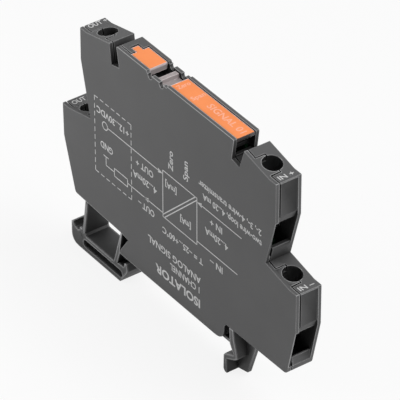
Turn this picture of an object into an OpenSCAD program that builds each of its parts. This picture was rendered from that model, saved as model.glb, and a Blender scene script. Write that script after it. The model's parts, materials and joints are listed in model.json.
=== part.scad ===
// Slim signal isolator for a 35 mm top-hat rail: two mouldings, four screw terminals,
// two hinged marker flaps and a circuit board with two trimmers.
// X runs along the module (IN end at +X), Y across it (cover at -Y), Z up from the feet.

/* [Module] */
// Width of the module across the rail pitch
module_w = 6.1; // [6.1:0.1:8]
// Length over the lower terminals
body_l = 78.9; // [78.4:0.1:82]
// Height of the top rails above the feet
body_h = 58; // [57.8:0.1:59]
// Thickness of the end, top and bottom walls
wall = 0.9; // [0.7:0.05:1.1]
// Thickness of the far side wall
side_wall = 0.8; // [0.6:0.05:0.9]
// Thickness of the side cover
cover_t = 0.8; // [0.6:0.05:0.9]

/* [Terminals] */
// Tilt of the clamping screws from the vertical
tilt = 13; // [11:0.5:14]
// Setback of the upper terminals from the lower ones
setback = 6.85; // [6.6:0.05:7.1]
// Drop from the top rails to the upper terminals at their outer end
upper_drop = 2.5; // [2.2:0.1:3]
// Height of the lower terminals at their outer end
lower_top = 33.35; // [33:0.05:33.8]
// Length of a terminal's top from its outer end to its inner edge
terminal_l = 10.2; // [9.9:0.1:10.5]
// Length of the level land at the outer end of a terminal
land = 2.3; // [2:0.1:2.8]
// Distance of the screw axis from the outer end
hole_inset = 5.3; // [5.1:0.05:5.5]
// Diameter of the screwdriver shaft
shaft_d = 4.2; // [4.1:0.05:4.3]
// Depth of the screwdriver shaft
shaft_depth = 5.4; // [5:0.1:5.6]
// Drop from a terminal's top to the bend of its end wall at the OUT end
out_bend = 7.5; // [7:0.1:8]
// Drop from a terminal's top to the bend of its end wall at the IN end
in_bend = 9.3; // [9:0.1:9.6]
// Height of a wire entry
entry_h = 5.7; // [5.4:0.1:5.8]
// Depth of the sunk face of an end wall
recess = 0.2; // [0.1:0.05:0.3]
// Width of the seam between the cover and the housing
seam_gap = 0.26; // [0.15:0.01:0.3]

/* [Rail feet] */
// Height of the rail seat above the feet
seat_z = 7.2; // [7:0.05:7.4]
// Height of the sole at the OUT end
out_sole = 13.3; // [13:0.1:13.6]
// Height of the sole at the IN end
in_sole = 12.4; // [12.2:0.1:12.8]
// Length of the latch foot
latch_l = 17.4; // [17.2:0.1:17.8]
// Height of the slot in the latch foot
latch_slot_h = 1.8; // [1.5:0.1:2]
// Thickness of the web in the fixed foot
web_t = 1; // [0.8:0.1:1.2]

/* [Marker flaps] */
// Height of the flaps' upper face below the top rails
flap_drop = 0.2; // [0.15:0.05:0.4]
// Thickness of a flap
flap_t = 1.6; // [1.5:0.05:1.7]
// Thickness of the right flap's plate beyond its root
plate_t = 0.8; // [0.7:0.05:0.9]
// Side clearance between a flap and the rails
flap_gap = 0.1; // [0.08:0.01:0.15]
// Diameter of a flap's hinge pin
pin_d = 1; // [0.8:0.05:1.1]
// Length of a flap's hinge pin
pin_l = 0.55; // [0.45:0.05:0.6]
// Radial clearance of the hinge pins
pin_gap = 0.05; // [0.03:0.01:0.08]
// Thickness of a marker strip
marker_t = 0.4; // [0.3:0.05:0.5]

/* [Clamps] */
// Diameter of a screw head
head_d = 3.9; // [3.6:0.05:4]
// Height of a screw head
head_h = 1.6; // [1.4:0.1:1.7]
// Thread diameter of a screw
thread_d = 2.5; // [2.4:0.05:2.6]
// Travel of a clamp cage along its screw
cage_travel = 2.7; // [2.4:0.05:2.75]
// Width of a clamp cage
cage_w = 4.2; // [4:0.05:4.3]
// Side wall of a clamp cage
cage_wall = 0.6; // [0.5:0.05:0.65]
// Thickness of a contact bar
bar_t = 0.8; // [0.6:0.05:0.9]
// Width of a contact bar
bar_w = 2.8; // [2.6:0.05:2.85]

/* [Circuit board] */
// Thickness of the board
board_t = 0.8; // [0.6:0.05:0.9]
// Height of the pads that carry the board
pad_h = 0.2; // [0.15:0.05:0.3]
// Spacing of the two trimmers
trimmer_pitch = 4.3; // [4.2:0.1:4.6]
// Diameter of a trimmer's rotor
rotor_d = 2.2; // [2:0.05:2.3]
// Radial clearance of the rotors and the clamp threads
turn_gap = 0.05; // [0.03:0.01:0.08]

/* [Hidden] */
$fn = 48;
eps = 0.01;
arc_steps = 6;
housing_grey = [0.34, 0.34, 0.345];
clear_tint = [0.72, 0.68, 0.68, 0.6];
marker_orange = [0.98, 0.6, 0.39];
steel = [0.75, 0.76, 0.78];
copper_tin = [0.82, 0.78, 0.7];

// Planes across the width
near_y = -module_w / 2;
far_y = module_w / 2;
cover_y = near_y + cover_t;
inner_y = far_y - side_wall;

// Terminal corners
end_x = body_l / 2;
upper_x = end_x - setback;
upper_top = body_h - upper_drop;
rise = (terminal_l - land) * tan(tilt);
upper_in = upper_x - terminal_l;
lower_in = end_x - terminal_l + 0.3;
lower_rise = (end_x - land - lower_in) * tan(tilt);

// Top housing between the terminals
rail_z = body_h;
top_left = -(upper_in - 2.45);
top_right = upper_in - 3.3;
notch_w = 2.65;
notch_z = rail_z - 5.3;
notch_step = 0.55;
notch_lean = 0.9;
flap_top = rail_z - flap_drop;
flap_z = flap_top - flap_t;
floor_top = flap_z - 1.4;
floor_t = 0.8;
floor_end = top_right - 2.2;
window_z = notch_z + notch_step + 0.4;
channel_left = top_left + 3.6;

// Hinge axes of the flaps
hinge_z = flap_z + 0.35;
left_reach = 5.75;
left_hinge_x = channel_left + left_reach;
right_hinge_x = left_hinge_x + 3.95;
left_flap_end = left_hinge_x + 0.7;
right_flap_start = right_hinge_x + 3.65;
right_flap_end = top_right - 0.15;
tongue_w = 1.7;
tongue_l = 1.7;
barrel_w = 1.1;
barrel_top = 0.65;

// Clamp stack, along the screw axis from the terminal's top face
head_top = -5;
bar_top = -10.6;
cage_top_t = 1;
cage_top = bar_top + 0.2 + cage_top_t;
wire_space = cage_travel + 0.8;
cage_floor = 0.8;
cage_bottom = bar_top - bar_t - wire_space - cage_floor;
cage_in_l = 2.6;
cage_out_l = 3.4;
entry_top = bar_top;
entry_bottom = entry_top - entry_h;
entry_sill = 2.1;
sill_cut = 0.5;
flare = 0.9;
lip_inner = [-0.75, 1.15];
lip_outer = [-0.35, 3.6];
cover_rim = 0.12;

// Circuit board plane
board_far = inner_y - pad_h;
board_near = board_far - board_t;
trimmer_inset = 4.3;
trimmer_x = right_flap_start + trimmer_inset;
trimmer_w = 3.6;
trimmer_h = 4.2;
trimmer_y = -0.45;
rotor_h = 1.1;
board_top = floor_top - floor_t - 0.4;
board_low = out_sole + 1.7;
lower_room = 13.5;
upper_room = 12.6;
waist_drop = 19.38;
board_wide = end_x - lower_room;
board_narrow = upper_x - upper_room;
board_waist = upper_top - waist_drop;
shoulder = notch_z - 2.5;
board_h = shoulder - board_low;
pad_x = floor_end - 0.9;
pad_rows = [board_low + 5, shoulder - 5.2];
chip_x = board_wide / 2;
peg_spots = [[-8, 11], [8, 11]];
peg_d = 1.6;

// End, outer length and top height of each terminal
out_plus = [-1, upper_x, upper_top];
out_minus = [-1, end_x, lower_top];
in_plus = [1, upper_x, upper_top];
in_minus = [1, end_x, lower_top];
terminals = [out_plus, out_minus, in_plus, in_minus];

// Unit vector and polygon helpers
function unit(v) = v / norm(v);
function flat(p) = [p[0], p[1]];
function turned(v, angle) = [
    v[0] * cos(angle) - v[1] * sin(angle),
    v[0] * sin(angle) + v[1] * cos(angle)];
function left_normal(v) = [-v[1], v[0]];

// One corner of an outline: the point itself, or an arc of the point's third value
function corner(a, b, c) =
    len(b) < 3 ? [b] :
    let (
        p = flat(b),
        u = unit(flat(a) - p),
        v = unit(flat(c) - p),
        half = acos(u * v) / 2,
        middle = p + unit(u + v) * b[2] / sin(half),
        start = p + u * b[2] / tan(half) - middle,
        sweep = (180 - 2 * half) * sign(cross(v, u)))
    [for (k = [0 : arc_steps]) middle + turned(start, sweep * k / arc_steps)];

// Outline with its corners rounded
function rounded(p) = [for (i = [0 : len(p) - 1])
    each corner(p[(i + len(p) - 1) % len(p)], p[i], p[(i + 1) % len(p)])];

// Outline moved inwards by d, for points that run anticlockwise
function inset(p, d) = [for (i = [0 : len(p) - 1])
    let (
        b = flat(p[i]),
        m = left_normal(unit(b - flat(p[(i + len(p) - 1) % len(p)]))),
        n = left_normal(unit(flat(p[(i + 1) % len(p)]) - b)))
    b + d * (m + n) / (1 + m * n)];

// Ends of the rail seat
seat_left = -19.55;
seat_right = 15.9;

// Outline of the broad side, anticlockwise from the lower OUT corner
outline = [
    [-end_x + 4.05, out_sole, 0.8],
    [seat_left + 0.75, out_sole - 0.6],
    [seat_left + 2.75, out_sole - 1.1],
    [seat_left + 0.25, seat_z + 1.4],
    [seat_left, seat_z, 0.2],
    [seat_right, seat_z + 0.15, 2.6],
    [seat_right + 0.4, in_sole - 1.2],
    [seat_right + 0.9, in_sole - 0.4],
    [end_x - 2.6, in_sole + 0.1, 1.3],
    [end_x, lower_top - in_bend],
    [end_x, lower_top],
    [end_x - land, lower_top],
    [lower_in, lower_top + lower_rise],
    [upper_x, upper_top - in_bend],
    [upper_x, upper_top],
    [upper_x - land, upper_top],
    [upper_in, upper_top + rise],
    [top_right - notch_lean + notch_w, notch_z],
    [top_right - notch_lean + 0.2, notch_z + notch_step],
    [top_right, rail_z, 0.3],
    [top_left, rail_z, 0.3],
    [top_left + notch_lean, notch_z + notch_step],
    [top_left + notch_lean - notch_w, notch_z],
    [-upper_in, upper_top + rise],
    [-upper_x + land, upper_top],
    [-upper_x, upper_top],
    [-upper_x, upper_top - out_bend],
    [-lower_in, lower_top + lower_rise],
    [-end_x + land, lower_top],
    [-end_x, lower_top],
    [-end_x + 0.2, lower_top - out_bend]];

// Outline of the latch foot, with its lug and hook
latch_left = -37.1;
latch_right = latch_left + latch_l;
latch_floor = 3.85;
latch_slot_z = 1.1;
lug_z = 5.2;
lug_w = 3.9;
latch_outline = [
    [latch_left, 0, 2],
    [latch_right, 0, 0.4],
    [latch_right + 2.6, latch_floor, 0.2],
    [latch_right + 2.2, latch_floor + 1.85, 0.15],
    [latch_right + 1.7, latch_floor + 1.85, 0.15],
    [latch_right + 1.2, latch_floor + 0.5, 0.2],
    [latch_right - 0.6, latch_floor + 0.5],
    [latch_right - 1.2, latch_floor],
    [latch_left + lug_w, latch_floor],
    [latch_left + lug_w, lug_z],
    [latch_left, lug_z, 0.3]];

// Legs of the latch foot, from the foot up to the sole
left_leg = [
    [latch_left + lug_w - 0.05, latch_floor - 0.1],
    [latch_left + lug_w + 1.2, latch_floor - 0.1],
    [latch_left + lug_w + 0.8, latch_floor + 0.5],
    [latch_left + lug_w + 2.15, out_sole + 0.3],
    [latch_left + lug_w + 1.35, out_sole + 0.3]];
right_leg = [
    [latch_right - 2.3, latch_floor - 0.1],
    [latch_right - 1.1, latch_floor - 0.1],
    [seat_left - 0.15, seat_z],
    [seat_left + 0.05, seat_z + 2.2],
    [seat_left + 0.7, out_sole - 0.5],
    [seat_left + 0.25, out_sole - 0.4]];

// Fixed foot: hooked wall, its root behind the cover with a seat plate, and the web beside it
hook_x = 16;
hook_wall = [
    [hook_x, 0.6],
    [hook_x + 0.5, 0],
    [hook_x + 1.2, 0],
    [hook_x + 1, 3.5],
    [hook_x + 3.6, 4.75],
    [hook_x + 4.5, 5.4],
    [hook_x + 4.35, 6.7],
    [hook_x + 3.5, 9.5],
    [hook_x + 3.1, in_sole + 0.3],
    [hook_x + 1.9, in_sole + 0.3],
    [hook_x + 2.05, 8.2],
    [hook_x + 2.9, 6.8],
    [hook_x + 3.5, 6],
    [hook_x + 0.5, 4.65],
    [hook_x + 0.05, 4]];
hook_root = [
    [seat_right - 2.9, seat_z + 0.1],
    [hook_x + 2.75, seat_z + 0.1],
    [hook_x + 2.5, in_sole + 0.3],
    [seat_right - 0.3, in_sole + 0.3]];
hook_seat = [
    [seat_right - 2.9, seat_z + 0.1],
    [hook_x + 2.75, seat_z + 0.1],
    [hook_x + 2.7, seat_z + wall],
    [seat_right - 2.9, seat_z + wall]];
foot_web = [
    [hook_x + 0.8, 0.1],
    [hook_x + 4.5, 1],
    [hook_x + 6.9, 8],
    [hook_x + 8.5, in_sole + 0.3],
    [hook_x + 2.6, in_sole + 0.3],
    [hook_x + 2.8, 8.4],
    [hook_x + 4, 6.6],
    [hook_x + 4, 5.1],
    [hook_x + 0.8, 3.7]];
web_y = -0.35;

// Extrudes an X-Z shape from y0 to y1
module along_y(y0, y1) {
    translate([0, y1, 0])
        rotate([90, 0, 0])
            linear_extrude(y1 - y0)
                children();
}

// Moves a shape to a terminal: x outwards along its top face, z along its screw axis
module at_terminal(t) {
    translate([t[0] * (t[1] - hole_inset), 0, t[2] + (hole_inset - land) * tan(tilt)])
        mirror([t[0] < 0 ? 1 : 0, 0, 0])
            rotate([0, tilt, 0])
                children();
}

// Distance of a terminal's leaning end wall from its screw axis
function wall_reach(t) =
    let (drop = (t[0] < 0 ? out_bend : in_bend) + (hole_inset - land) * tan(tilt))
    hole_inset * cos(tilt) + drop * sin(tilt);

// Round bar along Y
module bar_y(x, z, d, y0, y1) {
    translate([x, y1, z])
        rotate([90, 0, 0])
            cylinder(d = d, h = y1 - y0);
}

// Dips in the top rails: the lowered stretch and a finger notch on each side of the hinge
module rail_dip() {
    dip_z = rail_z - 0.45;
    notch_d = 1.4;
    polygon([
        [left_flap_end + 0.3, dip_z],
        [right_flap_start, dip_z],
        [right_flap_start + 0.5, rail_z + 1],
        [left_flap_end - 0.1, rail_z + 1]]);
    for (x = [left_flap_end + 1.35, right_flap_start - 1.75])
        translate([x, dip_z - 0.3])
            circle(d = notch_d);
}

// Blind seats of the hinge pins in one rail
module pin_seats(y0, y1) {
    for (x = [left_hinge_x, right_hinge_x])
        bar_y(x, hinge_z, pin_d + 2 * pin_gap, y0, y1);
}

// Space inside the walls, less the terminals' screw blocks and the top channel's floor
module cavity() {
    difference() {
        polygon(inset(outline, wall));
        translate([top_left - notch_w, floor_top - floor_t])
            square([top_right - top_left + 2 * notch_w, rail_z]);
        for (t = terminals)
            translate([t[0] * (t[1] - hole_inset), t[2] + (hole_inset - land) * tan(tilt)])
                mirror([t[0] < 0 ? 1 : 0, 0])
                    rotate(-tilt)
                        translate([-shaft_d / 2 - wall, -shaft_depth])
                            square([terminal_l, shaft_depth + wall]);
    }
}

// Flared wire entry of one terminal, across the whole inner width
module wire_entry(t) {
    reach = wall_reach(t);
    at_terminal(t)
        along_y(cover_y - eps, inner_y)
            polygon([
                [cage_out_l, entry_top],
                [reach + lip_inner[0], entry_top + lip_inner[1]],
                [reach + lip_outer[0], entry_top + lip_outer[1]],
                [reach + flare, entry_top + lip_outer[1]],
                [reach + flare, entry_bottom - entry_sill],
                [reach, entry_bottom - entry_sill],
                [reach - sill_cut, entry_bottom],
                [cage_out_l, entry_bottom]]);
}

// Slanted cut that thins the cover's edge beside a wire entry
module cover_chamfer(t) {
    reach = wall_reach(t);
    at_terminal(t)
        translate([0, 0, entry_bottom - entry_sill])
            linear_extrude(entry_h + entry_sill + 2)
                polygon([
                    [reach, near_y + cover_rim],
                    [reach + flare, near_y + cover_rim],
                    [reach + flare, cover_y + eps],
                    [reach - flare, cover_y + eps]]);
}

// Sunk face of an end wall between the cover and the far wall, with a wider seam beside it
groove_d = 0.45;
module end_recess(t) {
    bend = t[0] < 0 ? out_bend : in_bend;
    top_band = 0.35;
    along_y(cover_y - eps, inner_y)
        translate([t[0] * t[1] - recess, t[2] - bend])
            square([2 * recess, bend - top_band]);
    along_y(cover_y - eps, cover_y + 2 * seam_gap)
        translate([t[0] * t[1] - groove_d, t[2] - bend])
            square([2 * groove_d, bend - top_band]);
}

// Groove in the housing's rim that shows as the seam along the cover
module seam_groove() {
    along_y(cover_y - eps, cover_y + seam_gap)
        difference() {
            polygon(inset(outline, -groove_d));
            polygon(inset(outline, groove_d));
        }
}

// Tongue of the cover round the near half of a screw shaft, grown by a gap
tongue_half = 2.45;
tongue_depth = 1.2;
module cover_tongue(t, gap) {
    at_terminal(t)
        along_y(cover_y - eps, gap)
            translate([-tongue_half - gap, -tongue_depth - gap])
                square([2 * (tongue_half + gap), tongue_depth + 2 * gap]);
}

module screw_shaft(t) {
    at_terminal(t)
        translate([0, 0, -shaft_depth - 1])
            rotate([0, 0, 90])
                cylinder(d = shaft_d, h = shaft_depth + 3);
}

// Latch foot and fixed foot across the full width
module feet() {
    difference() {
        along_y(near_y, far_y) {
            difference() {
                polygon(rounded(latch_outline));
                latch_slot();
            }
            polygon(left_leg);
            polygon(right_leg);
            polygon(hook_wall);
        }
        along_y(near_y - eps, far_y - 1.2)
            driver_pocket();
        along_y(near_y - eps, cover_y)
            polygon(rounded(outline));
    }
    along_y(web_y, web_y + web_t)
        polygon(foot_web);
    along_y(cover_y, far_y)
        polygon(hook_seat);
    along_y(inner_y - wall, far_y)
        polygon(hook_root);
}

// Long slot with round ends in the latch foot
module latch_slot() {
    r = latch_slot_h / 2;
    left = latch_left + lug_w + 0.35 + r;
    right = latch_right + 0.75 - r;
    for (x = [left, right])
        translate([x, latch_slot_z + r])
            circle(r);
    translate([left, latch_slot_z])
        square([right - left, latch_slot_h]);
}

// Screwdriver pocket in the lug of the latch foot
module driver_pocket() {
    polygon([
        [latch_left + 0.65, lug_z + 1],
        [latch_left + 0.65, lug_z - 0.35],
        [latch_left + 1.2, lug_z - 0.95],
        [latch_left + 2.2, lug_z - 1.2],
        [latch_left + 2.8, lug_z - 0.9],
        [latch_left + 3.3, lug_z + 1]]);
}

module housing() {
    color(housing_grey) {
        difference() {
            along_y(cover_y, far_y)
                polygon(rounded(outline));
            along_y(cover_y - eps, inner_y)
                cavity();
            along_y(cover_y - eps, inner_y)
                channel();
            along_y(-tongue_w / 2 - flap_gap, tongue_w / 2 + flap_gap)
                translate([channel_left - tongue_l - flap_gap, flap_z - flap_gap])
                    square([tongue_l + 1, flap_t + 1]);
            along_y(cover_y - eps, far_y + eps)
                rail_dip();
            pin_seats(inner_y - eps, inner_y + pin_l + pin_gap);
            for (t = terminals) {
                screw_shaft(t);
                cover_tongue(t, seam_gap);
                wire_entry(t);
                end_recess(t);
            }
            seam_groove();
            for (x = [trimmer_x, trimmer_x + trimmer_pitch])
                translate([x, trimmer_y, floor_top - 2 * floor_t])
                    cylinder(d = rotor_d + 0.4, h = 3 * floor_t);
        }
        feet();
        for (p = peg_spots)
            difference() {
                bar_y(p[0], p[1], peg_d + 2, cover_y, inner_y + eps);
                bar_y(p[0], p[1], peg_d + 2 * pin_gap, cover_y - eps, 0);
            }
        for (x = [-pad_x, pad_x], z = pad_rows)
            bar_y(x, z, 3, board_far, inner_y + eps);
    }
}

// Open channel between the top rails, with a window at its IN end
module channel() {
    polygon([
        [channel_left, floor_top],
        [floor_end, floor_top],
        [floor_end, window_z],
        [top_right + 1, window_z],
        [top_right + 1, rail_z + 1],
        [channel_left, rail_z + 1]]);
}

module side_cover() {
    color(housing_grey)
        difference() {
            union() {
                along_y(near_y, cover_y)
                    polygon(rounded(outline));
                for (t = terminals)
                    cover_tongue(t, 0);
                for (p = peg_spots)
                    bar_y(p[0], p[1], peg_d, cover_y - eps, -0.5);
            }
            for (t = terminals) {
                screw_shaft(t);
                cover_chamfer(t);
            }
            along_y(near_y - eps, cover_y + eps)
                rail_dip();
            pin_seats(cover_y - pin_l - pin_gap, cover_y + eps);
        }
}

// Hinge pins of a flap
flap_y = min(inner_y, -cover_y) - flap_gap;
module flap_pins(x) {
    bar_y(x, hinge_z, pin_d, -flap_y - flap_gap - pin_l, -flap_y + eps);
    bar_y(x, hinge_z, pin_d, flap_y - eps, flap_y + flap_gap + pin_l);
}

// Plan of the left flap with its tongue, drawn in X-Y and shrunk by a margin
module left_plan(margin) {
    left = channel_left + flap_gap + margin;
    translate([left, -flap_y + margin])
        square([left_flap_end - margin - left, 2 * (flap_y - margin)]);
    translate([left - tongue_l, -tongue_w / 2 + margin])
        square([tongue_l + 1, tongue_w - 2 * margin]);
}

// Plan of the right flap's plate
module right_plan(margin) {
    translate([right_flap_start + margin, -flap_y + margin])
        square([right_flap_end - right_flap_start - 2 * margin, 2 * (flap_y - margin)]);
}

marker_rim = 0.12;
marker_gap = 0.04;

module left_flap() {
    color(clear_tint) {
        difference() {
            translate([0, 0, flap_z])
                linear_extrude(flap_t)
                    left_plan(0);
            translate([0, 0, flap_top - marker_t])
                linear_extrude(marker_t + 1)
                    left_plan(marker_rim);
        }
        flap_pins(left_hinge_x);
    }
}

module right_flap() {
    barrel_left = right_hinge_x - barrel_w / 2;
    web_z = flap_z - 0.45;
    root_l = 1.2;
    color(clear_tint) {
        difference() {
            translate([0, 0, flap_z])
                linear_extrude(flap_t)
                    right_plan(0);
            translate([0, 0, flap_top - marker_t])
                linear_extrude(marker_t + 1)
                    right_plan(marker_rim);
            translate([right_flap_start + root_l, -module_w / 2, flap_z - 1])
                cube([body_l, module_w, flap_t - plate_t + 1]);
        }
        translate([barrel_left, -flap_y, web_z])
            cube([right_flap_start + 0.5 - barrel_left, 2 * flap_y, 0.5]);
        translate([barrel_left, -flap_y, web_z])
            cube([barrel_w, 2 * flap_y, hinge_z + barrel_top - web_z]);
        flap_pins(right_hinge_x);
    }
}

module left_marker() {
    color(marker_orange)
        translate([0, 0, flap_top - marker_t])
            linear_extrude(marker_t)
                left_plan(marker_rim + marker_gap);
}

module right_marker() {
    color(marker_orange)
        translate([0, 0, flap_top - marker_t])
            linear_extrude(marker_t)
                right_plan(marker_rim + marker_gap);
}

// Board outline, stepped in beside the upper clamps
module circuit_board() {
    half = [
        [board_wide, board_low],
        [board_wide, board_waist],
        [board_narrow, board_waist + 3],
        [board_narrow, shoulder],
        [floor_end, shoulder + 1],
        [floor_end, board_top]];
    color([0.1, 0.35, 0.2])
        along_y(board_near, board_far)
            polygon(concat(half, [for (i = [len(half) - 1 : -1 : 0]) [-half[i][0], half[i][1]]]));
}

// Part that lies on the board's near face, by its centre in X-Z and its size in X, Y and Z
module on_board(x, z, size) {
    translate([x - size[0] / 2, board_near - size[1], z - size[2] / 2])
        cube(size);
}

core_x = 0;
core_z = board_low + 0.4 * board_h;
core_size = [9, 3.2, 10];
leg_size = [2.6, 1.6];
yoke = 1.4;
side_leg = 1.3;
winding_gap = 0.1;

core_y = board_near - core_size[1] / 2;
core_open = core_size[2] - 2 * yoke;

module transformer_core() {
    window = (core_size[0] - leg_size[0]) / 2 - side_leg;
    window_x = (leg_size[0] + window) / 2;
    slot_y = (leg_size[1] + core_size[1]) / 2;
    color([0.16, 0.16, 0.17])
        difference() {
            on_board(core_x, core_z, core_size);
            for (s = [-1, 1]) {
                translate([core_x + s * window_x, core_y, core_z])
                    cube([window, 2 * core_size[1], core_open], center = true);
                translate([core_x, core_y + s * slot_y, core_z])
                    cube([2 * leg_size[0], core_size[1], core_open], center = true);
            }
        }
}

module transformer_winding() {
    wound_z = core_open - 2 * winding_gap;
    width = core_size[0] - 2 * side_leg - 2 * winding_gap;
    bore = [leg_size[0] + 2 * winding_gap, leg_size[1] + 2 * winding_gap, 2 * wound_z];
    color([0.72, 0.42, 0.2])
        difference() {
            on_board(core_x, core_z, [width, core_size[1], wound_z]);
            translate([core_x, core_y, core_z])
                cube(bore, center = true);
        }
}

// Small-outline package: body and two rows of leads
module small_outline(x, z) {
    on_board(x, z, [5, 1.5, 3.9]);
    for (s = [-1, 1], k = [-1.5 : 1.5])
        on_board(x + k * 1.27, z + s * 2.4, [0.4, 0.3, 1.2]);
}

module control_chips() {
    color([0.12, 0.12, 0.13])
        for (x = [-chip_x, chip_x])
            small_outline(x, core_z);
}

module chip_capacitors() {
    color([0.78, 0.66, 0.5])
        for (x = [-chip_x, chip_x], k = [-1.5, 1.5], h = [0.2, 0.62])
            on_board(x + k, board_low + h * board_h, [2, 1.2, 1.25]);
}

module chip_resistors() {
    color([0.14, 0.14, 0.15])
        for (k = [-2 : 2], h = [0.11, 0.74])
            on_board(k * chip_x / 4, board_low + h * board_h, [1.6, 0.5, 0.8]);
}

module protection_diodes() {
    color([0.15, 0.15, 0.16])
        for (x = [-chip_x, chip_x], h = [0.07, 0.94])
            on_board(x, board_low + h * board_h, [2.6, 2, 1.8]);
}

// Trimmer body with a bore for its rotor
trimmer_top = floor_top - floor_t - 0.1;
module trimmer_body(x) {
    depth = min(2 * (board_near - trimmer_y), board_near - cover_y - 0.1);
    color([0.2, 0.35, 0.7])
        difference() {
            on_board(x, trimmer_top - trimmer_h / 2, [trimmer_w, depth, trimmer_h]);
            translate([x, trimmer_y, trimmer_top - rotor_h - turn_gap])
                cylinder(d = rotor_d + 2 * turn_gap, h = trimmer_h);
        }
}

// Rotor with a screwdriver slot
module trimmer_rotor(x) {
    color([0.9, 0.9, 0.88])
        difference() {
            translate([x, trimmer_y, trimmer_top - rotor_h])
                cylinder(d = rotor_d, h = rotor_h);
            translate([x - rotor_d, trimmer_y - 0.2, trimmer_top - 0.45])
                cube([2 * rotor_d, 0.4, 1]);
        }
}

module zero_trimmer() { trimmer_body(trimmer_x); }
module span_trimmer() { trimmer_body(trimmer_x + trimmer_pitch); }
module zero_rotor() { trimmer_rotor(trimmer_x); }
module span_rotor() { trimmer_rotor(trimmer_x + trimmer_pitch); }

// Slotted clamping screw that bears on the contact bar
module clamp_screw(t) {
    color(steel)
        at_terminal(t)
            difference() {
                union() {
                    translate([0, 0, head_top - head_h])
                        cylinder(d = head_d, h = head_h);
                    translate([0, 0, bar_top + eps])
                        cylinder(d = thread_d, h = head_top - bar_top - head_h);
                }
                translate([-head_d, -0.3, head_top - 0.8])
                    cube([2 * head_d, 0.6, 2]);
            }
}

// Rising cage: threaded top wall, two sides and a floor
module clamp_cage(t) {
    length = cage_in_l + cage_out_l;
    inner_h = cage_top - cage_top_t - cage_bottom - cage_floor;
    color(steel)
        at_terminal(t)
            difference() {
                translate([-cage_in_l, -cage_w / 2, cage_bottom])
                    cube([length, cage_w, cage_top - cage_bottom]);
                translate([-cage_in_l - 1, -cage_w / 2 + cage_wall, cage_bottom + cage_floor])
                    cube([length + 2, cage_w - 2 * cage_wall, inner_h]);
                translate([0, 0, cage_top - cage_top_t - 1])
                    cylinder(d = thread_d + 2 * turn_gap, h = cage_top_t + 2);
            }
}

// Contact bar through the cage, with a tail that lies on the board
module contact_bar(t) {
    bar_in = 3.2;
    bar_out = 4;
    tail_l = 3.8;
    tail_t = 1;
    color(copper_tin)
        at_terminal(t) {
            translate([-bar_in, -bar_w / 2, bar_top - bar_t])
                cube([bar_in + bar_out, bar_w, bar_t]);
            translate([-bar_in - tail_l, board_near - tail_t, bar_top - bar_t])
                cube([tail_l + 0.5, tail_t, bar_t]);
        }
}

module screw_out_plus() { clamp_screw(out_plus); }
module screw_out_minus() { clamp_screw(out_minus); }
module screw_in_plus() { clamp_screw(in_plus); }
module screw_in_minus() { clamp_screw(in_minus); }
module cage_out_plus() { clamp_cage(out_plus); }
module cage_out_minus() { clamp_cage(out_minus); }
module cage_in_plus() { clamp_cage(in_plus); }
module cage_in_minus() { clamp_cage(in_minus); }
module contact_out_plus() { contact_bar(out_plus); }
module contact_out_minus() { contact_bar(out_minus); }
module contact_in_plus() { contact_bar(in_plus); }
module contact_in_minus() { contact_bar(in_minus); }

housing();
side_cover();
left_flap();
right_flap();
left_marker();
right_marker();
circuit_board();
transformer_core();
transformer_winding();
control_chips();
chip_capacitors();
chip_resistors();
protection_diodes();
zero_trimmer();
span_trimmer();
zero_rotor();
span_rotor();
screw_out_plus();
screw_out_minus();
screw_in_plus();
screw_in_minus();
cage_out_plus();
cage_out_minus();
cage_in_plus();
cage_in_minus();
contact_out_plus();
contact_out_minus();
contact_in_plus();
contact_in_minus();
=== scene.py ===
"""Looks of a slim signal isolator: finishes, printed diagram and lettering, light and camera."""

import json
import math

import bmesh
import bpy
from mathutils import Matrix, Vector


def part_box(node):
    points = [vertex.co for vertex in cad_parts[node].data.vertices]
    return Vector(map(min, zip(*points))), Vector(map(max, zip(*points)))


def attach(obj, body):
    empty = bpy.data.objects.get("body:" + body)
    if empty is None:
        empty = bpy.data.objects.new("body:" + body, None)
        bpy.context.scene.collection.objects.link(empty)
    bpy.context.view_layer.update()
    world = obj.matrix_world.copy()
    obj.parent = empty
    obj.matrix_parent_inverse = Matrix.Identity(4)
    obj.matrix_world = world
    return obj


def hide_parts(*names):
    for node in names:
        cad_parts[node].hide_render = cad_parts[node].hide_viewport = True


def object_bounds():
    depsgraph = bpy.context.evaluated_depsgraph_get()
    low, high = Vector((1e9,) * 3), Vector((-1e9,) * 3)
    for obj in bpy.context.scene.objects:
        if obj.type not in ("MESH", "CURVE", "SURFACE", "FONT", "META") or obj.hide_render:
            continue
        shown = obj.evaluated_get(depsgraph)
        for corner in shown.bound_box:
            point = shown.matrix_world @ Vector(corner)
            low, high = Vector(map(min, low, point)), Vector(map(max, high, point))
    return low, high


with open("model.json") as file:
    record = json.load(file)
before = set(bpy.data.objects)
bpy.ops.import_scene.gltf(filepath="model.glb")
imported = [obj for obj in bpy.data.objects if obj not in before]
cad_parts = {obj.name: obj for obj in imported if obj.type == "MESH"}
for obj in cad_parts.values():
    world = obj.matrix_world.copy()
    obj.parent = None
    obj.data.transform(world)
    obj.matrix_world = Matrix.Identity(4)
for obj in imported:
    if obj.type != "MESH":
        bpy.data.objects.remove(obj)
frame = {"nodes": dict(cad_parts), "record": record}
cad_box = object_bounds()
nodes = frame["nodes"]

MM = 0.001
X_AXIS = Vector((1, 0, 0))
Y_AXIS = Vector((0, 1, 0))
Z_AXIS = Vector((0, 0, 1))


# Nodes that the finishes are made of

OCCLUSION_SAMPLES = 12
# Painted shade: ambient occlusion darkens the colour in deep hollows, where shade falls.
HOLLOW_REACH = 11 * MM
HOLLOW_SHADE = 0.16
HOLLOW_RANGE = (0.4, 0.95)
# Painted highlights: occlusion measured inside a piece lightens the colour at its outer edges, over a wider
# band below the top of the feet.
EDGE_RANGE = (0.55, 0.95)
FEET_TOP = 13 * MM
FEET_BLEND = 1 * MM
WAVE_PERIOD = 0.314


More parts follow.
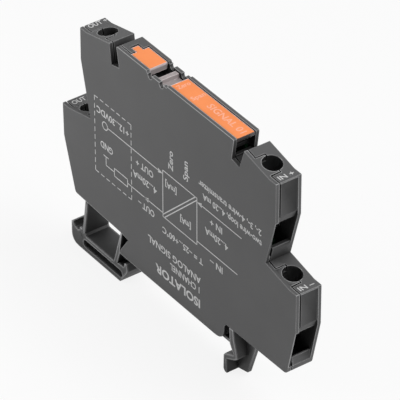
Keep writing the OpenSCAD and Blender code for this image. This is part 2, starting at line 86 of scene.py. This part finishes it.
def add_node(tree, kind, settings=None, sockets=None):
    """A shader node with its settings and the values of its unlinked sockets."""
    node = tree.nodes.new(kind)
    for key, value in (settings or {}).items():
        setattr(node, key, value)
    for key, value in (sockets or {}).items():
        node.inputs[key].default_value = value
    return node


def object_noise(tree, scale, detail, stretch):
    """Noise over the object's own coordinates, with about `scale` features in a metre."""
    coords = add_node(tree, "ShaderNodeTexCoord")
    mapping = add_node(tree, "ShaderNodeMapping", sockets={"Scale": stretch})
    noise = add_node(tree, "ShaderNodeTexNoise", sockets={"Scale": scale, "Detail": detail})
    tree.links.new(coords.outputs["Object"], mapping.inputs["Vector"])
    tree.links.new(mapping.outputs["Vector"], noise.inputs["Vector"])
    return noise.outputs["Fac"]


def object_place(tree, axis):
    """The place along one axis of the object's own coordinates."""
    coords = add_node(tree, "ShaderNodeTexCoord")
    place = add_node(tree, "ShaderNodeSeparateXYZ")
    tree.links.new(coords.outputs["Object"], place.inputs["Vector"])
    return place.outputs[axis]


def spread(tree, value, taken, given):
    """Spreads one range of values over another and holds its ends."""
    span = add_node(tree, "ShaderNodeMapRange", sockets={
        "From Min": taken[0], "From Max": taken[1], "To Min": given[0], "To Max": given[1]})
    tree.links.new(value, span.inputs["Value"])
    return span.outputs["Result"]


def colour_ramp(tree, factor, dark, light, low=0.3, high=0.7):
    """Blends two colours by a factor."""
    ramp = add_node(tree, "ShaderNodeValToRGB")
    ramp.color_ramp.elements[0].position = low
    ramp.color_ramp.elements[1].position = high
    ramp.color_ramp.elements[0].color = (*dark, 1)
    ramp.color_ramp.elements[1].color = (*light, 1)
    tree.links.new(factor, ramp.inputs["Fac"])
    return ramp.outputs["Color"]


def scaled_colour(tree, colour, factor):
    """A colour times a factor that varies over the surface."""
    scaled = add_node(tree, "ShaderNodeVectorMath", {"operation": "SCALE"})
    tree.links.new(colour, scaled.inputs[0])
    tree.links.new(factor, scaled.inputs["Scale"])
    return scaled.outputs["Vector"]


def occlusion(tree, reach, inside):
    """Falls below 1 where the surface is closed in or, measured inside the piece, at its outer edges."""
    return add_node(
        tree, "ShaderNodeAmbientOcclusion",
        {"samples": OCCLUSION_SAMPLES, "inside": inside, "only_local": inside}, {"Distance": reach})


def paint_hollow_shade(tree, colour):
    """The colour, darkened in deep hollows as painted shade."""
    closed = occlusion(tree, HOLLOW_REACH, inside=False)
    share = spread(tree, closed.outputs["AO"], HOLLOW_RANGE, (HOLLOW_SHADE, 1.0))
    return scaled_colour(tree, colour, share)


def paint_edge_highlights(tree, colour, factor, reach, feet_reach=None):
    """The colour, lightened at outer edges as a painted highlight, in a band that may have a width of its
    own on the feet.
    """
    closed = occlusion(tree, reach, inside=True)
    if feet_reach:
        feet = (FEET_TOP - FEET_BLEND, FEET_TOP)
        local_reach = spread(tree, object_place(tree, "Z"), feet, (feet_reach, reach))
        tree.links.new(local_reach, closed.inputs["Distance"])
    share = spread(tree, closed.outputs["AO"], EDGE_RANGE, (factor, 1.0))
    return scaled_colour(tree, colour, share)


# Finishes

def moulded(name, dark, light, rough, patch, grain, depth, stretch=(1, 1, 1), sockets=None,
            hollows=False, edges=None):
    """A finish with slow colour variation, uneven gloss and a fine surface grain.

    `patch` and `grain` are features in a metre, and `depth` is the height of the grain in metres. `hollows`
    paints shade into the colour in deep hollows, and `edges` paints highlights into it at outer edges.
    """
    material = bpy.data.materials.new(name)
    material.use_nodes = True
    tree = material.node_tree
    shader = tree.nodes["Principled BSDF"]
    for key, value in (sockets or {}).items():
        shader.inputs[key].default_value = value
    patches = object_noise(tree, patch, 3.0, stretch)
    colour = colour_ramp(tree, patches, dark, light)
    # Painted shade in hollows and painted highlights at outer edges, put into the colour
    if hollows:
        colour = paint_hollow_shade(tree, colour)
    if edges:
        colour = paint_edge_highlights(tree, colour, *edges)
    grain_height = object_noise(tree, grain, 2.0, stretch)
    bump = add_node(tree, "ShaderNodeBump", sockets={"Strength": 1.0, "Distance": depth})
    tree.links.new(grain_height, bump.inputs["Height"])
    tree.links.new(colour, shader.inputs["Base Color"])
    tree.links.new(spread(tree, grain_height, (0, 1), rough), shader.inputs["Roughness"])
    tree.links.new(bump.outputs["Normal"], shader.inputs["Normal"])
    return material


def housing_plastic(name, *feet_reach):
    """Matt dark grey polyamide, with painted shade in its hollows and painted highlights on its edges."""
    return moulded(
        name, (0.079, 0.079, 0.08), (0.087, 0.087, 0.088), (0.46, 0.6), patch=90, grain=5200, depth=6e-6,
        sockets={"Specular IOR Level": 0.25}, hollows=True, edges=(5.0, 0.18 * MM, *feet_reach))


def wound_wire(name, dark, light, pitch):
    """Turns of enamelled wire, one ridge for each turn along Z."""
    material = moulded(
        name, dark, light, (0.25, 0.4), patch=900, grain=6000, depth=2e-6, sockets={"Metallic": 0.6})
    tree = material.node_tree
    coords = add_node(tree, "ShaderNodeTexCoord")
    wave = add_node(
        tree, "ShaderNodeTexWave", {"bands_direction": "Z"}, {"Scale": WAVE_PERIOD / pitch})
    bump = add_node(tree, "ShaderNodeBump", sockets={"Strength": 0.8, "Distance": 5e-5})
    tree.links.new(coords.outputs["Object"], wave.inputs["Vector"])
    tree.links.new(wave.outputs["Fac"], bump.inputs["Height"])
    tree.links.new(bump.outputs["Normal"], tree.nodes["Principled BSDF"].inputs["Normal"])
    return material


def paint_end_shade(material, end, length, factor):
    """Darkens a finish as painted shade over the last stretch along X, where a clear lip stands before a
    dark inside.
    """
    tree = material.node_tree
    base = tree.nodes["Principled BSDF"].inputs["Base Color"]
    colour = base.links[0].from_socket
    stretch = (end - length, end - length / 2)
    share = spread(tree, object_place(tree, "X"), stretch, (1.0, factor))
    tree.links.new(scaled_colour(tree, colour, share), base)


# The tray's painted edge highlights are wider on the feet.
TRAY = housing_plastic("tray_plastic", 0.55 * MM)
COVER = housing_plastic("housing_plastic")
# Clear plastic with painted highlights at its outer edges.
CLEAR = moulded(
    "clear_plastic", (0.56, 0.5, 0.5), (0.64, 0.57, 0.57), (0.12, 0.2), patch=300, grain=2500, depth=3e-6,
    sockets={"Transmission Weight": 0.5, "IOR": 1.49}, edges=(2.0, 0.25 * MM))
# Painted shade on the right flap's clear lip, where the dark inside stands behind it.
paint_end_shade(CLEAR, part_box("right_flap")[1][0], 0.4 * MM, 0.12)
ORANGE = moulded(
    "marker_orange", (0.88, 0.262, 0.08), (0.94, 0.296, 0.1), (0.45, 0.58), patch=160, grain=6000,
    depth=3e-6, sockets={"Specular IOR Level": 0.35})
# The board carries painted shade in the hollows of the closed housing.
BOARD = moulded(
    "board", (0.012, 0.09, 0.035), (0.02, 0.13, 0.05), (0.3, 0.42), patch=700, grain=5000, depth=4e-6,
    hollows=True)
FERRITE = moulded(
    "ferrite", (0.018, 0.018, 0.02), (0.03, 0.03, 0.032), (0.55, 0.75), patch=1200, grain=7000, depth=1e-5)
WINDING = wound_wire("winding", (0.45, 0.16, 0.05), (0.62, 0.25, 0.08), 0.25 * MM)
CHIP = moulded(
    "chip_black", (0.012, 0.012, 0.013), (0.02, 0.02, 0.022), (0.5, 0.65), patch=900, grain=9000, depth=6e-6)
CERAMIC = moulded(
    "ceramic", (0.5, 0.38, 0.25), (0.6, 0.47, 0.32), (0.35, 0.5), patch=1500, grain=9000, depth=4e-6)
TRIMMER = moulded(
    "trimmer_blue", (0.03, 0.1, 0.38), (0.045, 0.13, 0.46), (0.35, 0.5), patch=700, grain=6000, depth=4e-6)
ROTOR = moulded(
    "rotor_white", (0.72, 0.72, 0.7), (0.8, 0.8, 0.78), (0.4, 0.55), patch=900, grain=6000, depth=3e-6)
STEEL = moulded(
    "steel", (0.55, 0.56, 0.58), (0.66, 0.67, 0.68), (0.22, 0.38), patch=900, grain=5000, depth=4e-6,
    stretch=(1, 1, 0.15), sockets={"Metallic": 1.0})
TINNED = moulded(
    "tinned_copper", (0.66, 0.6, 0.5), (0.78, 0.72, 0.62), (0.25, 0.4), patch=800, grain=5000, depth=3e-6,
    sockets={"Metallic": 1.0})
INK = moulded(
    "print_ink", (0.5, 0.5, 0.5), (0.6, 0.6, 0.6), (0.55, 0.7), patch=2500, grain=9000, depth=2e-6)
PALE_INK = moulded(
    "pale_ink", (0.9, 0.4, 0.26), (0.93, 0.45, 0.31), (0.5, 0.65), patch=2500, grain=9000, depth=2e-6)

FINISHES = {
    "housing": TRAY, "side_cover": COVER, "left_flap": CLEAR, "right_flap": CLEAR,
    "left_marker": ORANGE, "right_marker": ORANGE, "circuit_board": BOARD,
    "transformer_core": FERRITE, "transformer_winding": WINDING, "control_chips": CHIP,
    "chip_capacitors": CERAMIC, "chip_resistors": CHIP, "protection_diodes": CHIP,
    "zero_trimmer": TRIMMER, "span_trimmer": TRIMMER, "zero_rotor": ROTOR, "span_rotor": ROTOR}
TERMINAL_FINISHES = {"screw": STEEL, "cage": STEEL, "contact": TINNED}

for name, node in nodes.items():
    finish = FINISHES.get(name) or TERMINAL_FINISHES[name.split("_")[0]]
    node.data.materials.clear()
    node.data.materials.append(finish)


# Small moulded radii on the edges of the CAD pieces

EDGE_RADIUS = {
    "housing": 0.1, "side_cover": 0.1, "left_flap": 0.04, "right_flap": 0.04,
    "left_marker": 0.03, "right_marker": 0.03}
SHORTEST_ROUNDED_EDGE = 2.2
SHARP_EDGE = math.radians(35)
SMOOTH_SHADING = math.radians(12)
COPLANAR = math.radians(0.5)
SAME_POINT = 1e-6
ON_THE_FACE = 1e-5
FACE_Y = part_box("side_cover")[0][1]
BODY_OF = {
    member: body
    for body, members in frame["record"]["behaviour"]["bodies"].items() for member in members}


def link(name, data):
    """A new object in the scene."""
    piece = bpy.data.objects.new(name, data)
    bpy.context.scene.collection.objects.link(piece)
    return piece


def rounded_copy(name, radius):
    """A copy of a CAD piece with a small radius on its sharp edges, shown in the piece's place.

    Edges that are short for the radius stay sharp, and so do those of the cover behind its face.
    """
    shape = bmesh.new()
    shape.from_mesh(nodes[name].data)
    bmesh.ops.remove_doubles(shape, verts=shape.verts, dist=SAME_POINT)
    bmesh.ops.dissolve_limit(shape, angle_limit=COPLANAR, verts=shape.verts, edges=shape.edges)
    shortest = SHORTEST_ROUNDED_EDGE * radius
    tight = {v for e in shape.edges if e.calc_length() < shortest for v in e.verts}
    if name == "side_cover":
        tight.update(v for v in shape.verts if v.co.y > FACE_Y + ON_THE_FACE)
    sharp = [
        e for e in shape.edges
        if e.is_manifold and e.calc_face_angle_signed() > SHARP_EDGE
        and not tight.intersection(e.verts)]
    bmesh.ops.bevel(
        shape, geom=sharp, offset=radius, offset_type="OFFSET", segments=2, profile=0.5,
        affect="EDGES", clamp_overlap=False, miter_outer="ARC")
    bmesh.ops.triangulate(shape, faces=[f for f in shape.faces if len(f.verts) > 4])
    for face in shape.faces:
        face.smooth = True
    data = bpy.data.meshes.new(name + "_moulding")
    shape.to_mesh(data)
    shape.free()
    data.set_sharp_from_angle(angle=SMOOTH_SHADING)
    data.materials.append(FINISHES[name])
    piece = link(name + "_moulding", data)
    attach(piece, BODY_OF[name])
    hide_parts(name)


for name, radius in EDGE_RADIUS.items():
    rounded_copy(name, radius * MM)


# Printing

CAPITAL_SHARE = 0.73
SAME_INK_POINT = 1e-7


class Sheet:
    """A flat printed area: points are given as millimetres along `right` and `up` from `origin`."""

    def __init__(self, origin, right, up, ink=0.02):
        self.right = right
        self.up = up
        self.normal = right.cross(up)
        self.origin = origin
        self.ink = ink * MM
        self.mesh = bmesh.new()

    def point(self, spot, lift):
        """A point of the sheet, lifted by a number of ink layers."""
        return (self.origin + self.right * spot[0] * MM + self.up * spot[1] * MM
                + self.normal * lift * self.ink)

    def patch(self, spots):
        """A thin closed plate of ink with the given outline, anticlockwise."""
        top = [self.mesh.verts.new(self.point(s, 1)) for s in spots]
        low = [self.mesh.verts.new(self.point(s, -1)) for s in spots]
        self.mesh.faces.new(top)
        self.mesh.faces.new(low[::-1])
        for i in range(len(spots)):
            j = (i + 1) % len(spots)
            self.mesh.faces.new((low[i], low[j], top[j], top[i]))

    def line(self, start, end, width=0.22):
        """A straight line."""
        tail, tip = Vector(start), Vector(end)
        along = (tip - tail).normalized()
        side = Vector((-along.y, along.x)) * width / 2
        self.patch([tail - side, tip - side, tip + side, tail + side])

    def dashes(self, start, end, dash=1.15, gap=0.75, width=0.2):
        """A straight dashed line that starts and ends with a dash."""
        start, end = Vector(start), Vector(end)
        length = (end - start).length
        along = (end - start).normalized()
        count = max(1, round((length + gap) / (dash + gap)))
        step = (length + gap) / count
        for i in range(count):
            tail = start + along * step * i
            self.line(tail, tail + along * (step - gap), width)

    def rectangle(self, low, high, draw):
        """The four sides of a rectangle, drawn by `draw`."""
        corners = [low, (high[0], low[1]), high, (low[0], high[1])]
        for i in range(4):
            draw(corners[i], corners[(i + 1) % 4])

    def ring(self, centre, radius, width=0.22, steps=24):
        """A circle."""
        def spot(k, r):
            angle = 2 * math.pi * k / steps
            return centre[0] + r * math.cos(angle), centre[1] + r * math.sin(angle)
        inner, outer = radius - width / 2, radius + width / 2
        for k in range(steps):
            self.patch([spot(k, inner), spot(k, outer), spot(k + 1, outer), spot(k + 1, inner)])

    def arrow(self, tip, along, length=1.5, width=1.1):
        """A filled arrowhead."""
        tip, along = Vector(tip), Vector(along).normalized()
        side = Vector((-along.y, along.x)) * width / 2
        base = tip - along * length
        self.patch([base - side, tip, base + side])

    def words(self, text, start, height, length, right, up, stroke=0.03):
        """Text from a start point along `right`, with capitals of a height, fitted to a length."""
        curve = bpy.data.curves.new("words", "FONT")
        curve.body = text
        curve.size = height * MM / CAPITAL_SHARE
        curve.align_y = "CENTER"
        curve.extrude = self.ink
        curve.offset = stroke * MM
        curve.resolution_u = 3
        holder = link("words", curve)
        shaped = holder.evaluated_get(bpy.context.evaluated_depsgraph_get())
        letters = bpy.data.meshes.new_from_object(shaped)
        spans = [v.co.x for v in letters.vertices]
        fit = length * MM / (max(spans) - min(spans))
        turn = Matrix((right * fit, up, right.cross(up))).transposed().to_4x4()
        letters.transform(Matrix.Translation(self.point(start, 0)) @ turn)
        self.mesh.from_mesh(letters)
        bpy.data.objects.remove(holder)

    def finish(self, name, material, body):
        """Makes the print one piece that rides on a body."""
        data = bpy.data.meshes.new(name)
        bmesh.ops.remove_doubles(self.mesh, verts=self.mesh.verts, dist=SAME_INK_POINT)
        bmesh.ops.recalc_face_normals(self.mesh, faces=self.mesh.faces)
        self.mesh.to_mesh(data)
        self.mesh.free()
        data.materials.append(material)
        piece = link(name, data)
        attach(piece, body)


# The diagram on the near face, drawn in X and Z of the module

ROW_PLUS = 36.25
ROW_MINUS = 26.7
BLOCK_LOW = (-4.4, 25.8)
BLOCK_HIGH = (7.1, 37.15)
DIAGONAL_GAP = 0.5
SUPPLY_LOW = (-27.9, 23.4)
SUPPLY_HIGH = (-15.2, 41.8)
RING_X = -24.3
RING_RADIUS = 0.9
OUT_PLUS_LINE_END = -5.6
OUT_PLUS_ARROW_TIP = -4.5
OUT_MINUS_ARROW_TIP = -10.9
IN_LINE_START = 8.2
IN_PLUS_LINE_END = 21.8
IN_MINUS_LINE_END = 20.5
IN_ARROW_TIP = 7.2
RESISTOR_LOW = (-21.2, 25.75)
RESISTOR_HIGH = (-16.6, 27.65)
GROUND_X = -24.1
GROUND_Z = 28.8
GROUND_HALF = 0.9

diagram = Sheet(Vector((0, FACE_Y, 0)), X_AXIS, Z_AXIS)
diagram.rectangle(SUPPLY_LOW, SUPPLY_HIGH, diagram.dashes)
diagram.ring((RING_X, ROW_PLUS), RING_RADIUS)
diagram.line((RING_X + RING_RADIUS, ROW_PLUS), (OUT_PLUS_LINE_END, ROW_PLUS))
diagram.arrow((OUT_PLUS_ARROW_TIP, ROW_PLUS), (1, 0))
diagram.rectangle(BLOCK_LOW, BLOCK_HIGH, diagram.line)
diagram.line((BLOCK_LOW[0], BLOCK_LOW[1] + DIAGONAL_GAP), (BLOCK_HIGH[0] - DIAGONAL_GAP, BLOCK_HIGH[1]))
diagram.line((BLOCK_LOW[0] + DIAGONAL_GAP, BLOCK_LOW[1]), (BLOCK_HIGH[0], BLOCK_HIGH[1] - DIAGONAL_GAP))
diagram.line((IN_LINE_START, ROW_PLUS), (IN_PLUS_LINE_END, ROW_PLUS))
diagram.arrow((IN_ARROW_TIP, ROW_PLUS), (-1, 0))
diagram.line((IN_ARROW_TIP, ROW_MINUS), (IN_MINUS_LINE_END, ROW_MINUS))
diagram.line((RESISTOR_HIGH[0], ROW_MINUS), (BLOCK_LOW[0], ROW_MINUS))
diagram.arrow((OUT_MINUS_ARROW_TIP, ROW_MINUS), (-1, 0))
diagram.rectangle(RESISTOR_LOW, RESISTOR_HIGH, diagram.line)
diagram.line((GROUND_X, ROW_MINUS), (RESISTOR_LOW[0], ROW_MINUS))
diagram.line((GROUND_X, ROW_MINUS), (GROUND_X, GROUND_Z))
diagram.line((GROUND_X - GROUND_HALF, GROUND_Z), (GROUND_X + GROUND_HALF, GROUND_Z))

# Words that stand upside down on the face: the X and Z of their start, the height of their capitals
# and their length
FACE_WORDS = (
    ("+12...30VDC", (-15.9, 39.1), 1.6, 11.2),
    ("GND", (-21.6, 31.3), 1.6, 4.3),
    ("OUT +", (-7.6, 33.9), 1.6, 5.9),
    ("4...20mA", (-6.5, 30.6), 1.6, 8.2),
    ("OUT –", (-7.3, 24.4), 1.6, 5.6),
    ("IN +", (15.6, 34.2), 1.6, 4.0),
    ("4...20mA", (17.4, 31.2), 1.6, 7.6),
    ("IN –", (15.8, 24.6), 1.6, 4.2),
    ("[mA]", (5.2, 28.9), 1.5, 3.6),
    ("[mA]", (0.4, 34.5), 1.5, 3.8),
    ("2-, 3-, 4-wire transmitter", (28.2, 41.4), 1.5, 20.5),
    ("two-wire loop, 4...20 mA", (28.3, 38.9), 1.5, 19.3),
    ("T = –25...+60°C", (9.1, 22.6), 1.5, 13.7),
    ("ANALOG SIGNAL", (8.3, 17.5), 1.7, 18.0),
    ("1 CHANNEL", (8.3, 15.0), 1.6, 10.0))
for text, start, height, length in FACE_WORDS:
    diagram.words(text, start, height, length, -X_AXIS, -Z_AXIS)
diagram.words("ISOLATOR", (8.3, 11.7), 2.1, 15.2, -X_AXIS, -Z_AXIS, stroke=0.075)
for text, start in (("Zero", (-1.6, 38.7)), ("Span", (3.4, 39.1))):
    diagram.words(text, start, 1.6, 4.7, Z_AXIS, -X_AXIS)
diagram.finish("face_print", INK, "case")


# Names of the terminals on their lands, all read from the IN end

UPPER_LAND_Z = 55.5
LOWER_LAND_Z = 33.35
LAND_CAPITALS = 1.3
LAND_WORD_START = -1.6

# Terminal, its name, the X and Z of the name and its length
LAND_WORDS = (
    ("in_plus", "IN +", 31.35, UPPER_LAND_Z, 3.6),
    ("in_minus", "IN –", 38.2, LOWER_LAND_Z, 3.6),
    ("out_plus", "OUT +", -31.7, UPPER_LAND_Z, 4.4),
    ("out_minus", "OUT –", -38.05, LOWER_LAND_Z, 4.4))
for name, text, x, z, length in LAND_WORDS:
    land = Sheet(Vector((x, 0, z)) * MM, Y_AXIS, -X_AXIS)
    land.words(text, (LAND_WORD_START, 0), LAND_CAPITALS, length, Y_AXIS, -X_AXIS)
    land.finish("print_" + name, INK, "case")


# Faint lettering on the long marker strip

STRIP_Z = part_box("right_marker")[1][2]
strip = Sheet(Vector((0, 0, STRIP_Z)), X_AXIS, Y_AXIS)
strip.words("Zero", (-1.5, -1.5), 1.25, 3.0, Y_AXIS, -X_AXIS)
strip.words("Span", (3.2, -1.55), 1.25, 3.2, Y_AXIS, -X_AXIS)
strip.words("SIGNAL 01", (6.6, 0.1), 1.6, 11.3, X_AXIS, Y_AXIS)
strip.finish("strip_print", PALE_INK, "right_lid")


# Camera at the photograph's viewing angle, fitted to the corners of the outline

AZIMUTH = 54.17
ELEVATION = 36.48
AIM = Vector((8.12, -3.05, 37.32)) * MM
DISTANCE = 824.7 * MM
LENS = 381.2
SENSOR_WIDTH = 36
CLIP = (0.05, 20)


def direction(azimuth, elevation):
    """The way out from the object at two angles in degrees, where azimuth 0 is in front of the near face."""
    a, e = math.radians(azimuth), math.radians(elevation)
    return Vector((math.sin(a) * math.cos(e), -math.cos(a) * math.cos(e), math.sin(e)))


def place_towards(piece, aim, away, distance):
    """Puts a lamp or a camera at a distance from a point, looking back at it."""
    piece.location = aim + away * distance
    piece.rotation_euler = (-away).to_track_quat("-Z", "Y").to_euler()


def make_camera():
    """The camera of the photograph."""
    data = bpy.data.cameras.new("camera")
    data.lens = LENS
    data.sensor_width = SENSOR_WIDTH
    data.clip_start, data.clip_end = CLIP
    camera = link("camera", data)
    place_towards(camera, AIM, direction(AZIMUTH, ELEVATION), DISTANCE)
    bpy.context.scene.camera = camera


# Floor, world and lamps

FLOOR_HALF = 3.0
FLOOR_DROP = 0.02 * MM
FLOOR_PAINT = 0.75
FLOOR_GLOW = 0.86
AMBIENT = 0.29
WHITE = (1, 1, 1, 1)

# Azimuth, elevation, watts, size and distance of each lamp
LAMPS = {
    "key": (-44, 16, 0.148, 0.12, 0.17),
    "side": (106, 45, 4.1, 0.5, 0.9),
    "back": (140, 55, 3.4, 0.5, 0.9)}


def seen_directly(tree):
    """1 for camera, glossy and transmission rays, and 0 for the rays that light the object."""
    path = add_node(tree, "ShaderNodeLightPath")
    total = path.outputs["Is Camera Ray"]
    for kind in ("Is Glossy Ray", "Is Transmission Ray"):
        either = add_node(tree, "ShaderNodeMath", {"operation": "MAXIMUM"})
        tree.links.new(total, either.inputs[0])
        tree.links.new(path.outputs[kind], either.inputs[1])
        total = either.outputs[0]
    return total


def mix_by(tree, factor, first, second, output_kind):
    """Sends a mix of two shaders to a new output."""
    mix = add_node(tree, "ShaderNodeMixShader")
    output = add_node(tree, output_kind)
    tree.links.new(factor, mix.inputs["Fac"])
    tree.links.new(first.outputs[0], mix.inputs[1])
    tree.links.new(second.outputs[0], mix.inputs[2])
    tree.links.new(mix.outputs[0], output.inputs["Surface"])


def make_floor():
    """A pale floor that looks white and still takes a faint shadow."""
    mesh = bpy.data.meshes.new("floor")
    corners = [(x * FLOOR_HALF, y * FLOOR_HALF, 0) for x, y in ((-1, -1), (1, -1), (1, 1), (-1, 1))]
    mesh.from_pydata(corners, [], [(0, 1, 2, 3)])
    floor = link("floor", mesh)
    floor.location.z = cad_box[0][2] - FLOOR_DROP
    material = bpy.data.materials.new("floor_white")
    material.use_nodes = True
    tree = material.node_tree
    tree.nodes.clear()
    grey = (FLOOR_PAINT, FLOOR_PAINT, FLOOR_PAINT, 1)
    paint = add_node(tree, "ShaderNodeBsdfDiffuse", sockets={"Color": grey})
    white = add_node(tree, "ShaderNodeEmission", sockets={"Color": WHITE, "Strength": 1.0})
    share = spread(tree, seen_directly(tree), (0, 1), (0, FLOOR_GLOW))
    mix_by(tree, share, paint, white, "ShaderNodeOutputMaterial")
    mesh.materials.append(material)


def make_world():
    """A white surround that lights the object at a plain level."""
    world = bpy.data.worlds.new("studio")
    bpy.context.scene.world = world
    world.use_nodes = True
    tree = world.node_tree
    tree.nodes.clear()
    lit = add_node(tree, "ShaderNodeBackground", sockets={"Color": WHITE, "Strength": AMBIENT})
    seen = add_node(tree, "ShaderNodeBackground", sockets={"Color": WHITE, "Strength": 1.0})
    mix_by(tree, seen_directly(tree), lit, seen, "ShaderNodeOutputWorld")


def make_lamp(name, azimuth, elevation, watts, size, distance):
    """A square soft box that looks at the object's middle."""
    middle = (Vector(cad_box[0]) + Vector(cad_box[1])) / 2
    data = bpy.data.lights.new(name, "AREA")
    data.energy = watts
    data.size = size
    lamp = link(name, data)
    place_towards(lamp, middle, direction(azimuth, elevation), distance)


make_camera()
make_floor()
make_world()
for name, settings in LAMPS.items():
    make_lamp(name, *settings)
bpy.context.scene.view_settings.view_transform = "Standard"
